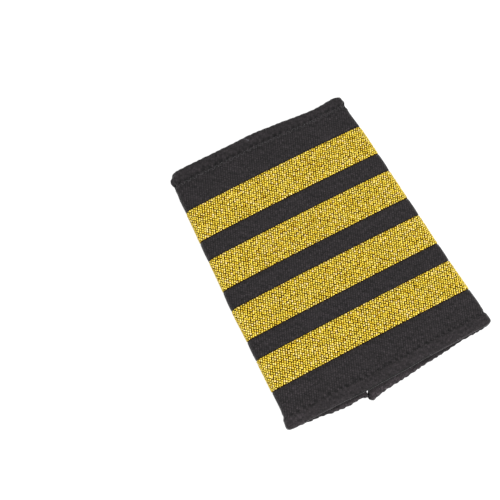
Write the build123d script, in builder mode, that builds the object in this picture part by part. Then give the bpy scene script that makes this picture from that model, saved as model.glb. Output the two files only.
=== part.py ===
"""Slide-on epaulette: a flattened loop of black cloth, hemmed at both ends and
closed by one seam behind, with gold bars woven in that wrap right round it.

It lies on its back. +Z is up out of its face, +Y points to the narrow end, which
sits next to the collar, and -Y to the wide end at the shoulder. The origin is in
the middle of its footprint, on the surface that it lies on.
"""

import os
from collections import namedtuple
from math import asin, degrees

from build123d import *

# Driving dimensions, in millimetres
loop_length = 88.0  # along the front, from fold to fold of the two hems
collar_width = 60.5  # across the cloth at the narrow end
shoulder_width = 70.6  # across the cloth at the wide end
loop_height = 9.4  # over the hems, in the middle
crown_rise = 1.1  # how much higher the front stands in its middle than at its folds
face_fold_radius = 2.6  # the upper, tighter part of each side fold
cloth_wall = 1.5  # single cloth with its interlining
hem_wall = 2.0  # cloth turned in at both ends
hem_depth = 4.7  # from a hem's fold to just past its row of stitches
hem_rise = 0.35  # how far a hem stands out of the cloth
ear_bulge = 1.0  # how far a hem's ends bulge past the side folds
edge_rounding = 0.5  # how far a hem's fold is rounded, on each face
bar_count = 4
bar_width = 11.0
bar_gap = 6.3
collar_margin = 12.2  # from the narrow end's fold to the first bar
bar_thickness = 0.55
bar_proud = 0.1  # how far a bar stands out of the cloth
bar_clearance = 0.05  # between a bar and the cloth that it lies in
seam_offset = -9.3  # place of the back seam, across from the middle
seam_radius = 0.8  # the hollow that the seam pulls into the back
seam_sink = 0.55  # how deep that hollow is in the cloth
seam_split = 2.0  # between the two hems that meet at the seam
notch_depth = 2.2  # how far the wide end's hem gapes at the seam
deep_lip_reach = 2.8  # back hem past the front one, on the seam's right
deep_lip_level = 3.0
deep_lip_run = 28.3
shallow_lip_reach = 0.9  # the same, on the seam's left
shallow_lip_level = 11.0
shallow_lip_run = 17.2
lip_corner_radius = 1.2
lip_bend_radius = 15.0
lip_rounding = 0.8

# Sections of a hem, from its fold inwards. Depth is a share of the hem's depth,
# edge of the fold's rounding, swell of the hem's rise and turn of the turned-in
# cloth's thickness. The spreads are shares of the ears' bulge, at the two ends.
HemSection = namedtuple("HemSection", "depth edge swell turn collar_spread shoulder_spread")
hem_sections = [
    HemSection(0.00, 1.00, 1.00, 1.00, -1.50, -1.00),
    HemSection(0.05, 0.45, 1.00, 1.00, -0.80, -0.20),
    HemSection(0.15, 0.00, 1.00, 1.00, -0.20, 0.50),
    HemSection(0.45, 0.00, 1.00, 1.00, 0.05, 1.00),
    HemSection(0.72, 0.00, 0.90, 1.00, 0.20, 0.90),
    HemSection(0.90, 0.00, -0.30, 1.00, 0.35, 0.45),
    HemSection(1.05, 0.00, 0.15, 0.60, 0.10, 0.15),
    HemSection(1.20, 0.00, 0.00, 0.00, 0.00, 0.00),
]
lip_root_section = hem_sections[3]

# Sizes that follow from them
footprint_length = loop_length + deep_lip_reach
collar_end = footprint_length / 2
shoulder_end = collar_end - loop_length
widest_level = loop_height - crown_rise - face_fold_radius
bar_pitch = bar_width + bar_gap
groove_depth = bar_thickness - bar_proud + bar_clearance
cutter_margin = hem_wall  # how far cutting tools run out of the cloth


def half_width(y):
    """Half the cloth's width at y, which grows evenly from the collar end."""
    share = (collar_end - y) / loop_length
    return (collar_width + (shoulder_width - collar_width) * share) / 2


def outline(half, inset):
    """Return the closed outline of the flattened loop, moved inwards by inset.

    The underside is straight. Each side fold is two tangent arcs that meet at the
    widest point, and one wide arc, tangent to both folds, crowns the front.
    """
    upper = face_fold_radius - inset
    lower = widest_level - inset
    upper_centre = half - upper
    lower_centre = half - lower
    top = loop_height - inset
    rise = top - widest_level
    crown_radius = (upper_centre**2 + rise**2 - upper**2) / (2 * (rise - upper))
    turn = 90 - degrees(asin(upper_centre / (crown_radius - upper)))
    with BuildLine() as loop:
        Line((-lower_centre, inset), (lower_centre, inset))
        CenterArc((lower_centre, widest_level), lower, -90, 90)
        right_fold = CenterArc((upper_centre, widest_level), upper, 0, turn)
        left_fold = CenterArc((-upper_centre, widest_level), upper, 180 - turn, turn)
        ThreePointArc(right_fold @ 1, (0, top), left_fold @ 0)
        CenterArc((-lower_centre, widest_level), lower, 180, 90)
    return loop.line


def ring(y, outer_inset, inner_inset, spread=0.0):
    """Return the loop's wall at y, between two insets from the hems' outer face."""
    half = half_width(y) + hem_rise + spread
    with BuildSketch(Plane.XZ.offset(-y)) as wall:
        make_face(outline(half - outer_inset, outer_inset))
        make_face(outline(half - inner_inset, inner_inset), mode=Mode.SUBTRACT)
    return wall.sketch


def hem_ring(row, end, inwards, spread):
    """Return the loop's wall at one row of the table, inwards from one end."""
    single_inset = hem_rise + cloth_wall
    rounding = edge_rounding * row.edge
    outer_inset = hem_rise * (1 - row.swell) + rounding
    inner_inset = single_inset + (hem_wall - single_inset) * row.turn - rounding
    y = end + inwards * row.depth * hem_depth
    return ring(y, outer_inset, inner_inset, ear_bulge * spread)


def bar_edges(index):
    """Return the y of a bar's two edges, counted from the collar end."""
    first = collar_end - collar_margin - index * bar_pitch
    return first, first - bar_width


def back_lip(side, reach, level, run):
    """Return the back hem past the front one: side is 1 right of the seam, -1 left."""
    near = seam_offset + side * seam_split / 2
    far = near + side * run
    root = shoulder_end + lip_root_section.depth * hem_depth
    tip = shoulder_end - reach
    with BuildPart() as lip:
        with BuildSketch():
            with BuildLine():
                edge = FilletPolyline(
                    (near, root),
                    (near, tip),
                    (near + side * level, tip),
                    (far, shoulder_end),
                    radius=[lip_corner_radius, lip_bend_radius],
                )
                Polyline(edge @ 1, (far, root), (near, root))
            make_face()
        extrude(amount=hem_wall)
        free_edges = lip.edges().filter_by(Plane.XY)
        free_edges = free_edges.filter_by(lambda e: e.center().Y < shoulder_end)
        fillet(free_edges, lip_rounding)
    return lip.part


# The cloth loop: one wall lofted through both hems' sections, with the back hem's
# two lips, the notch between them, the seam's hollow and a groove under each bar
sections = [hem_ring(row, collar_end, -1, row.collar_spread) for row in hem_sections]
sections += [
    hem_ring(row, shoulder_end, 1, row.shoulder_spread) for row in reversed(hem_sections)
]

with BuildPart() as sleeve:
    loft(sections=sections, ruled=True)
    add(back_lip(1, deep_lip_reach, deep_lip_level, deep_lip_run))
    add(back_lip(-1, shallow_lip_reach, shallow_lip_level, shallow_lip_run))
    with BuildSketch(Plane.XY.offset(-cutter_margin)):
        with BuildLine():
            Polyline(
                (seam_offset - seam_split / 2, shoulder_end - cutter_margin),
                (seam_offset + seam_split / 2, shoulder_end - cutter_margin),
                (seam_offset + seam_split / 2, shoulder_end),
                (seam_offset, shoulder_end + notch_depth),
                (seam_offset - seam_split / 2, shoulder_end),
                close=True,
            )
        make_face()
    extrude(amount=cutter_margin + hem_wall + edge_rounding, mode=Mode.SUBTRACT)
    with BuildSketch(Plane.XZ.offset(-collar_end - cutter_margin)):
        with Locations((seam_offset, hem_rise + seam_sink - seam_radius)):
            Circle(seam_radius)
    extrude(amount=footprint_length + 2 * cutter_margin, mode=Mode.SUBTRACT)
    for index in range(bar_count):
        first, second = bar_edges(index)
        groove_edges = (first + bar_clearance, second - bar_clearance)
        loft(
            sections=[ring(y, -cutter_margin, hem_rise + groove_depth) for y in groove_edges],
            ruled=True,
            mode=Mode.SUBTRACT,
        )

os.makedirs("parts", exist_ok=True)
sleeve.part.label = "sleeve"
export_step(sleeve.part, "parts/sleeve.step")

# The bars: bands that lie in the grooves and end on both sides of the seam
bar_face = hem_rise - bar_proud
for index in range(bar_count):
    with BuildPart() as bar:
        loft(
            sections=[ring(y, bar_face, bar_face + bar_thickness) for y in bar_edges(index)],
            ruled=True,
        )
        with BuildSketch(Plane.XY):
            with Locations((seam_offset, sum(bar_edges(index)) / 2)):
                Rectangle(seam_split, bar_width + 2 * cutter_margin)
        extrude(amount=widest_level, mode=Mode.SUBTRACT)
    bar.part.label = f"gold_bar_{index + 1}"
    export_step(bar.part, f"parts/gold_bar_{index + 1}.step")
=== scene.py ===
"""Looks of a slide-on epaulette: a flattened loop of black twill with four woven bars
of gold lurex, a stitched hem at each end, one seam behind and a few loose threads.

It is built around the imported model, in its frame: +Z points out of the face, +Y to the
collar end, and the origin is in the middle of the footprint, on the floor. Sizes are in
millimetres, and a mesh is turned to metres when it is made. A place on the cloth is
given as u, the way round the loop from the middle of the face, and y, the way along it.
"""

import logging
import math
from dataclasses import dataclass
from enum import Enum
from functools import partial

import bpy
import numpy as np
from mathutils import Matrix, Vector


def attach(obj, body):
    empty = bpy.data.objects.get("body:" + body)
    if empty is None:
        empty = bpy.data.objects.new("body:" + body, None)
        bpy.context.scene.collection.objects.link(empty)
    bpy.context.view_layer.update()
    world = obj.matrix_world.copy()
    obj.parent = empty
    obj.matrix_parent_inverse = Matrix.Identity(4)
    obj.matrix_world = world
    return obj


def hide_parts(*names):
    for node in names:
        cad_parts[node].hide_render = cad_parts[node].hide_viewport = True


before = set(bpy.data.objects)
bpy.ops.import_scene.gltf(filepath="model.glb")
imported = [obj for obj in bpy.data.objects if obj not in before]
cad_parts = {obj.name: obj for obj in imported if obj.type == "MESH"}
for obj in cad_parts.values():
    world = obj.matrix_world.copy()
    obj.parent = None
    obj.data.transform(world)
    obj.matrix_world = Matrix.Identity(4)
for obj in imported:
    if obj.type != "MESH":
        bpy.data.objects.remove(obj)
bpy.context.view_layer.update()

MM = 0.001
BODY = "root"
CLOTH_MAP = "cloth"
MAP_SPAN = 400.0  # mm of cloth along the whole side of that map, which is centred
LINING_SHIFT = 0.25  # share of the map by which the inner face lies apart
UNDERSIDE = 3  # the last part of the outline, as ClothLoop.place counts them
MATHS = "ShaderNodeMath"
VECTOR_MATHS = "ShaderNodeVectorMath"
SEPARATE = "ShaderNodeSeparateXYZ"
COMBINE = "ShaderNodeCombineXYZ"
NOISE = "ShaderNodeTexNoise"
MIX = "ShaderNodeMix"  # its inputs 2 and 3 are two numbers, and 6 and 7 two colours
MAP_RANGE = "ShaderNodeMapRange"
ATTRIBUTE = "ShaderNodeAttribute"
BUMP = "ShaderNodeBump"
RANDOM = "FunctionNodeRandomValue"
LOGIC = "FunctionNodeBooleanMath"
NAMED = "GeometryNodeInputNamedAttribute"
DELETE = "GeometryNodeDeleteGeometry"
DRESS = "GeometryNodeSetMaterial"
Span = tuple[float, float]
Triple = tuple[float, float, float]
Knots = tuple[Span, ...]
Array = np.ndarray
Piece = bpy.types.Object
Material = bpy.types.Material
Tree = bpy.types.NodeTree
Socket = bpy.types.NodeSocket
Node = bpy.types.Node
SOCKETS = {Piece: "NodeSocketObject", int: "NodeSocketInt", float: "NodeSocketFloat"}
log = logging.getLogger("epaulette")


class End(Enum):
    """The loop's two ends, by the sign of their y."""

    COLLAR = 1
    SHOULDER = -1


class Side(Enum):
    """The two ways round the loop from the middle of the face, by the sign of x."""

    RIGHT = 1
    LEFT = -1


def linear(hex_colour: str) -> tuple[float, float, float, float]:
    """Turn an sRGB hex colour into linear red, green, blue and alpha.

    Args:
        hex_colour: The colour as six hex digits after a hash.

    Returns:
        Four numbers, the last of them 1.
    """
    channels = [int(hex_colour[i : i + 2], 16) / 255 for i in (1, 3, 5)]
    toned = [c / 12.92 if c <= 0.04045 else ((c + 0.055) / 1.055) ** 2.4 for c in channels]
    return (*toned, 1.0)


def smoothstep(low: float, high: float, value: Array) -> Array:
    """Rise smoothly from 0 at low to 1 at high.

    Args:
        low: Where the rise starts.
        high: Where it ends.
        value: Where it is read.

    Returns:
        A share from 0 to 1 for each value.
    """
    share = np.clip((value - low) / (high - low), 0.0, 1.0)
    return share * share * (3 - 2 * share)


def curve_through(value: Array, knots: Knots) -> Array:
    """Read a smooth curve that passes through a few knots and is level past their ends.

    Args:
        value: Where the curve is read.
        knots: Its points, in rising order.

    Returns:
        The curve's height at each value.
    """
    xs, ys = (np.array(column, float) for column in zip(*knots))
    slopes = np.gradient(ys, xs)
    slopes[[0, -1]] = 0.0
    value = np.clip(value, xs[0], xs[-1])
    i = np.clip(np.searchsorted(xs, value, side="right") - 1, 0, len(xs) - 2)
    run = xs[i + 1] - xs[i]
    t = (value - xs[i]) / run
    start = (1 + 2 * t) * (1 - t) ** 2 * ys[i] + t * (1 - t) ** 2 * run * slopes[i]
    stop = t**2 * (3 - 2 * t) * ys[i + 1] + t**2 * (t - 1) * run * slopes[i + 1]
    return start + stop


def link_object(name: str, data: bpy.types.ID) -> Piece:
    """Make an object of some data.

    Args:
        name: The object's name.
        data: Its mesh, curve, light or camera.

    Returns:
        The object, linked to the scene.
    """
    made = bpy.data.objects.new(name, data)
    bpy.context.scene.collection.objects.link(made)
    return made


def add_values(piece: Piece, name: str, values: Array) -> None:
    """Give each point of a mesh a number, as a named attribute."""
    attribute = piece.data.attributes.new(name, "FLOAT", "POINT")
    attribute.data.foreach_set("value", values.ravel().astype(np.float32))


def make_object(name: str, points: Array, faces: Array | list) -> Piece:
    """Make a smooth mesh object from points in millimetres.

    Args:
        name: The object's name.
        points: Its points, one row each.
        faces: Its faces, one row of point numbers each.

    Returns:
        The object, linked to the scene.
    """
    mesh = bpy.data.meshes.new(name)
    rows = faces if isinstance(faces, list) else faces.tolist()
    mesh.from_pydata((points * MM).tolist(), [], rows)
    mesh.polygons.foreach_set("use_smooth", [True] * len(mesh.polygons))
    return link_object(name, mesh)


def grid_faces(rows: int, columns: int, closed_rows: bool, closed_columns: bool) -> Array:
    """Number the four-sided faces of a grid of points, row after row.

    Args:
        rows: How many rows of points there are.
        columns: How many points each row has.
        closed_rows: Whether the last row joins the first.
        closed_columns: Whether each row is a ring.

    Returns:
        One row of four point numbers for each face.
    """
    r = np.arange(rows if closed_rows else rows - 1)
    c = np.arange(columns if closed_columns else columns - 1)
    r, c = (part.ravel() for part in np.meshgrid(r, c, indexing="ij"))
    below = (r + 1) % rows
    beside = (c + 1) % columns
    corners = [r * columns + c, below * columns + c, below * columns + beside, r * columns + beside]
    return np.stack(corners, axis=1)


@dataclass(frozen=True)
class ClothLoop:
    """The flattened loop's shape, which every piece follows, with the real sizes in mm.

    The wall is measured inwards, as an inset, from the faces of the two hems.
    """

    loop_length: float = 88.0
    collar_width: float = 60.5
    shoulder_width: float = 70.6
    loop_height: float = 9.4
    crown_rise: float = 1.1
    face_fold_radius: float = 2.6
    cloth_wall: float = 1.5
    hem_wall: float = 2.0
    hem_rise: float = 0.35
    seam_offset: float = -9.3
    seam_split: float = 2.0
    hem_run: float = 5.6  # of each end that moves as one with its fold
    hem_fade: float = 12.0  # where an end's waves have died out
    deep_lip_reach: float = 2.8
    # How far the side folds bow out of their straight lines, by y
    left_bow: Knots = (
        (-36, 0.0), (-29.5, 0.15), (-19, 0.4), (-12, 0.5), (-2, 0.85), (5, 0.75), (22, 0.8), (34, 0.8),
        (38, 0.9), (41, 0.65), (45, 0.25)
    )
    right_bow: Knots = (
        (-42, 0.2), (-39, 0.25), (-37, 0.65), (-29.5, 0.6), (-19, 0.35), (-2, 0.35), (15, 0.35),
        (34, 0.25), (39, 0.0)
    )
    gap_bow: float = 0.14  # the cloth between two bars bows a little further than they do
    # How far a hem's ends stand out sideways past the fold, by depth
    collar_left_ear: Knots = (
        (0, -0.6), (0.3, 0.0), (0.9, 0.35), (2.7, 0.35), (3.6, 0.25), (4.6, 0.1), (5.4, 0.0)
    )
    collar_right_ear: Knots = (
        (0, -1.0), (0.3, -0.35), (0.9, 0.0), (1.75, 0.1), (2.5, 0.19), (3.1, 0.1), (4.0, 0.0),
        (4.9, 0.25), (5.5, 0.0)
    )
    shoulder_left_ear: Knots = (
        (0, -0.4), (0.25, 0.2), (0.7, 0.42), (1.4, 0.48), (3.4, 0.33), (4.4, 0.3), (5.3, 0.0)
    )
    shoulder_right_ear: Knots = (
        (0, -1.2), (0.15, -0.9), (0.4, -0.4), (0.8, 0.1), (1.3, 0.4), (2.3, 0.5), (3.3, 0.38),
        (4.2, 0.3), (4.8, 0.0)
    )
    # How far the two folds wave outwards along the face, by u
    collar_wave: Knots = (
        (-32, 1.2), (-25, 1.15), (-20, 1.05), (-10, 0.9), (0, 0.9), (5, 0.5), (10, 0.15), (15, -0.35),
        (20, -0.6), (25, -0.2), (31, 0.15)
    )
    shoulder_wave: Knots = (
        (-34, -0.1), (-28, -0.17), (-18, -0.07), (-10, 0.23), (0, 0.18), (5, 0.13), (10, -0.07),
        (20, -0.17), (30, -0.32)
    )
    # How far the back hem reaches past the front one, by the way from the seam
    left_lip: Knots = (
        (0.0, 1.3), (0.6, 0.95), (1.2, 0.9), (4.3, 1.05), (6.4, 1.12), (9.4, 0.79), (11.5, 0.62),
        (14.6, 0.0), (17.7, -0.27), (22, -0.7)
    )
    right_lip: Knots = (
        (0.0, 1.3), (0.4, 1.4), (0.7, 1.3), (0.93, 1.0), (1.19, -0.5), (1.47, -1.7), (1.76, -1.9),
        (2.06, -1.6), (2.38, 2.4), (2.69, 2.88), (3.02, 3.13), (3.4, 3.12), (4.1, 2.75), (5.9, 2.28),
        (11, 1.81), (16, 1.4), (21, 0.85), (26, 0.55), (31, 0.1), (36, -0.4)
    )
    # How far the deep lip's corner spreads over the notch, by how far it reaches out
    corner_flare: Knots = (
        (-1.2, 0.0), (-0.8, 0.45), (0.0, 1.1), (0.2, 1.3), (0.4, 1.6), (0.6, 1.8), (1.0, 1.85),
        (2.2, 1.75), (3.1, 1.3)
    )
    flare_start: Span = (2.4, 2.66)  # from the seam, where that begins
    flare_run: Span = (3.0, 6.0)  # and where it dies out
    flare_lift: float = 0.15  # of the corner over the shallow lip, for each mm of spread
    scallop_depth: float = 0.12  # of the collar's fold, between its stitches
    # Painted light and shade on the shoulder's fold, by u: a painted highlight at its sides, and below 0
    # painted shade, darker than the cloth
    fold_painted_light: Knots = ((-30, 0.3), (-19, 0.3), (-15, -0.28), (12, -0.28), (15, 0.3), (34, 0.3))
    # How much lighter the front's shoulder hem is drawn, by its reach past the fold and by u
    hem_lightening: Knots = ((-16, 0.0), (-11, 0.045), (-5, 0.06), (-3.5, 0.11), (3, 0.11))
    hem_lightening_round: Knots = (
        (-40, 0.0), (-35, 1.7), (-26, 1.3), (-15, 0.85), (0, 0.8), (15, 0.85), (28, 1.0), (34, 1.25),
        (40, 0.0)
    )
    knob_height: float = 0.13  # the back hem's edge is knobbly
    knob_pitch: float = 2.15
    knob_drift: float = 0.9  # radians for each mm round, by which the knobs' pitch changes
    left_knobs: Span = (1.0, 3.0)  # from the seam, where they start
    right_knobs: Span = (3.0, 5.0)
    scallop_sway: float = 0.4  # mm that the scallops lie off an even pitch
    scallop_mean: float = 0.64  # of their depth
    turn_behind: Span = (33.0, 38.0)  # u over which the face's edge goes over to the back's
    bow_spread: float = 0.45  # of a gap, how far from its middle the cloth bows
    sway_depth: float = 0.09  # of the face's waves, where nothing holds it flat
    sway_end: Span = (26.0, 32.0)  # u over which they die out
    slow_round: float = 9.0  # mm for each radian of the slow waves
    slow_along: float = 13.0
    slow_slant: float = 0.06  # radians for each mm along
    slow_starts: Span = (0.8, 0.5)  # radians
    quick_round: float = 4.3  # mm for each radian of the quick waves
    quick_along: float = 7.0
    quick_share: float = 0.35  # of the slow ones' depth

    def ear(self, end: End, side: Side) -> Knots:
        """How far one end of one hem stands out sideways past the fold.

        Args:
            end: The hem's end of the loop.
            side: The side of the hem.

        Returns:
            The curve's knots, by depth.
        """
        right = side is Side.RIGHT
        if end is End.COLLAR:
            return self.collar_right_ear if right else self.collar_left_ear
        return self.shoulder_right_ear if right else self.shoulder_left_ear

    @property
    def collar_end(self) -> float:
        """The y of the collar end's fold: the deep lip takes up the rest of the footprint."""
        return (self.loop_length + self.deep_lip_reach) / 2

    @property
    def shoulder_end(self) -> float:
        """The y of the shoulder end's fold, on the face."""
        return self.collar_end - self.loop_length

    @property
    def widest_level(self) -> float:
        """The height at which the side folds are widest."""
        return self.loop_height - self.crown_rise - self.face_fold_radius

    @property
    def lining_inset(self) -> float:
        """Where the inner face of the single cloth lies."""
        return self.hem_rise + self.cloth_wall

    def depth(self, end: End, y: Array) -> Array:
        """How far y lies in from one end's fold."""
        return self.collar_end - y if end is End.COLLAR else y - self.shoulder_end

    def half_width(self, side: Array, y: Array) -> Array:
        """Half the width over the hems' faces at y, with the ears of both hems.

        Args:
            side: 1 right of the middle of the face, -1 left of it.
            y: The way along the loop.

        Returns:
            Half widths.
        """
        share = (self.collar_end - y) / self.loop_length
        half = (self.collar_width + (self.shoulder_width - self.collar_width) * share) / 2 + self.hem_rise
        half = half + np.where(side > 0, curve_through(y, self.right_bow), curve_through(y, self.left_bow))
        for index in range(GoldLayout.count - 1):
            middle = self.collar_end - GoldLayout.collar_margin - GoldLayout.width
            middle = middle - GoldLayout.gap / 2 - index * (GoldLayout.width + GoldLayout.gap)
            half = half + self.gap_bow * np.exp(-(((y - middle) / (self.bow_spread * GoldLayout.gap)) ** 4))
        for end in End:
            depth = self.depth(end, y)
            right = curve_through(depth, self.ear(end, Side.RIGHT))
            half = half + np.where(side > 0, right, curve_through(depth, self.ear(end, Side.LEFT)))
        return half

    def arcs(self, half: Array) -> tuple[Array, ...]:
        """Measure the outline of one half, on the single cloth's face.

        Args:
            half: Half widths over the hems' faces.

        Returns:
            The crown's radius and half angle, and the lengths of crown, upper fold,
            lower fold and underside up to the middle.
        """
        upper_centre = half - self.face_fold_radius
        rise = self.loop_height - self.widest_level
        over = rise - self.face_fold_radius
        radius = (upper_centre**2 + rise**2 - self.face_fold_radius**2) / (2 * over)
        angle = np.arcsin(upper_centre / (radius - self.face_fold_radius))
        crown = (radius - self.hem_rise) * angle
        upper = (self.face_fold_radius - self.hem_rise) * (math.pi / 2 - angle)
        lower = (self.widest_level - self.hem_rise) * math.pi / 2 * np.ones_like(half)
        return radius, angle, crown, upper, lower, half - self.widest_level

    def reach(self, side: Side, y: Array) -> Array:
        """The way round from the middle of the face to the seam, on one side, at y."""
        _, _, crown, upper, lower, under = self.arcs(self.half_width(np.array(side.value), y))
        return crown + upper + lower + under + side.value * -self.seam_offset

    def from_seam(self, u: Array, y: Array) -> Array:
        """The way from the seam, round either side, to the points at u and y."""
        return np.where(u > 0, self.reach(Side.RIGHT, y) - u, self.reach(Side.LEFT, y) + u)

    def edge_shift(self, end: End, u: Array, y: Array) -> Array:
        """How far an end's fold stands out past its straight line.

        Args:
            end: The collar or the shoulder end.
            u: The way round the loop, from the seam's left side to its right.
            y: The way along it.

        Returns:
            Lengths outwards: the face's wave, the back's lips, and the notch between them.
        """
        if end is End.COLLAR:
            swayed = u + self.scallop_sway * np.sin(u * self.knob_drift)
            bulge = np.abs(np.sin(math.pi * swayed / self.knob_pitch)) - self.scallop_mean
            return curve_through(u, self.collar_wave) + self.scallop_depth * bulge
        from_seam = self.from_seam(u, y)
        drift = np.sin(u * self.knob_drift)
        knobs = self.knob_height * np.sin(2 * math.pi * u / self.knob_pitch + drift)
        right = curve_through(from_seam, self.right_lip)
        right = right + knobs * smoothstep(*self.right_knobs, from_seam)
        left = curve_through(from_seam, self.left_lip)
        left = left + knobs * smoothstep(*self.left_knobs, from_seam)
        back = np.where(u > 0, right, left)
        behind = smoothstep(*self.turn_behind, np.abs(u))
        return curve_through(u, self.shoulder_wave) * (1 - behind) + back * behind

    def place(
        self, side: Array, part: Array, share: Array, y: Array, inset: Array
    ) -> tuple[Array, Array]:
        """Place points of the loop's wall.

        Args:
            side: 1 right of the middle of the face, -1 left of it.
            part: 0 on the crown, 1 on the upper fold, 2 on the lower fold, 3 underneath.
            share: How far along that part the point is, away from the face's middle.
            y: The way along the loop.
            inset: How far the point lies in from the hems' faces.

        Returns:
            The points, and each one's u.
        """
        half = self.half_width(side, y)
        radius, angle, crown, upper, lower, under = self.arcs(half)
        to_seam = under - side * self.seam_offset
        turn = angle * share
        upper_turn = (math.pi / 2 - angle) * (1 - share)
        lower_turn = -math.pi / 2 * share
        upper_radius = self.face_fold_radius - inset
        lower_radius = self.widest_level - inset
        on_crown = (
            (radius - inset) * np.sin(turn),
            self.loop_height - radius + (radius - inset) * np.cos(turn),
            crown * share,
        )
        on_upper = (
            half - self.face_fold_radius + upper_radius * np.cos(upper_turn),
            self.widest_level + upper_radius * np.sin(upper_turn),
            crown + upper * share,
        )
        on_lower = (
            half - self.widest_level + lower_radius * np.cos(lower_turn),
            self.widest_level + lower_radius * np.sin(lower_turn),
            crown + upper + lower * share,
        )
        below = (under - share * to_seam, inset, crown + upper + lower + to_seam * share)
        x, z, way = (np.choose(part, c) for c in zip(on_crown, on_upper, on_lower, below))
        return np.stack([side * x, y, z], axis=-1), side * way


@dataclass(frozen=True)
class Columns:
    """The lines along the cloth that its grids are made of, from the seam round to it."""

    crown_lines: int = 134
    upper_lines: int = 12
    lower_lines: int = 18
    under_lines: int = 80
    crowding: float = 1.35  # how much closer the lines underneath lie near the seam

    def half(self) -> tuple[Array, Array]:
        """List the lines of one side, from the middle of the face to the seam.

        Returns:
            Each line's part of the outline and its share along that part.
        """
        counts = (self.crown_lines, self.upper_lines, self.lower_lines, self.under_lines)
        parts = np.concatenate([np.full(n, i) for i, n in enumerate(counts)])
        shares = [np.arange(n) / n for n in counts]
        shares[UNDERSIDE] = 1 - (1 - shares[UNDERSIDE]) ** self.crowding
        return np.append(parts, UNDERSIDE), np.append(np.concatenate(shares), 1.0)

    def around(self) -> tuple[Array, Array, Array]:
        """List all the lines, from the seam over the left fold and the face to the seam.

        Returns:
            Each line's side, part and share.
        """
        parts, shares = self.half()
        side = np.concatenate([np.full(len(parts), -1), np.full(len(parts) - 1, 1)])
        part = np.concatenate([parts[::-1], parts[1:]])
        share = np.concatenate([shares[::-1], shares[1:]])
        return side, part, share


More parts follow.
